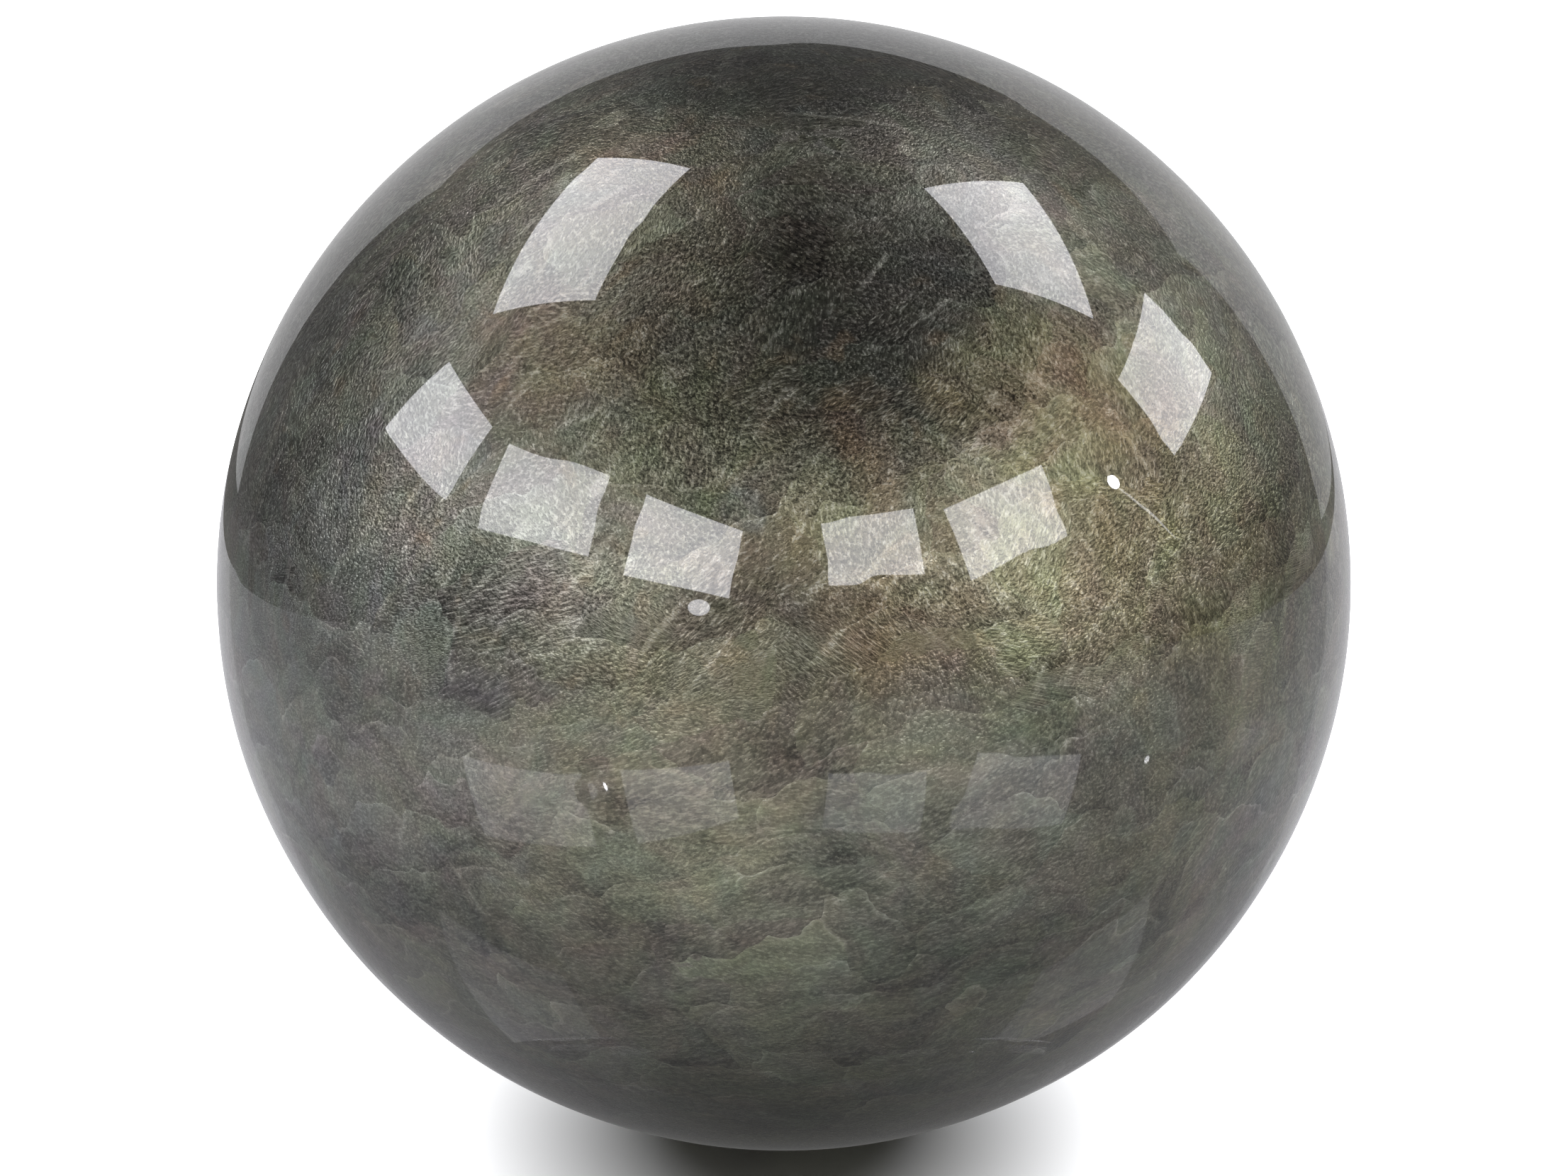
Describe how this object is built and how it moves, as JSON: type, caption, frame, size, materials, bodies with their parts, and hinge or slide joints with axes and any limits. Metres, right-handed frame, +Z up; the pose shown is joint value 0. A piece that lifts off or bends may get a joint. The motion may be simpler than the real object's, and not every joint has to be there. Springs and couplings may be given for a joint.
{
  "type": "polished stone ball",
  "caption": "Solid ball of dark olive and gold natural stone, polished to a glassy shine, for display or for a lawn game.",
  "frame": {"origin": "the lowest point of the ball, where it touches the surface that it stands on, straight below its centre", "axes": "+Z up through the ball's centre; +Y is away from the face that the picture shows, and +X to that face's right"},
  "size_m": [0.092, 0.092, 0.092],
  "materials": {
    "polished_stone": "polished"
  },
  "bodies": {
    "root": {"stone_ball": "polished_stone"}
  },
  "joints": []
}
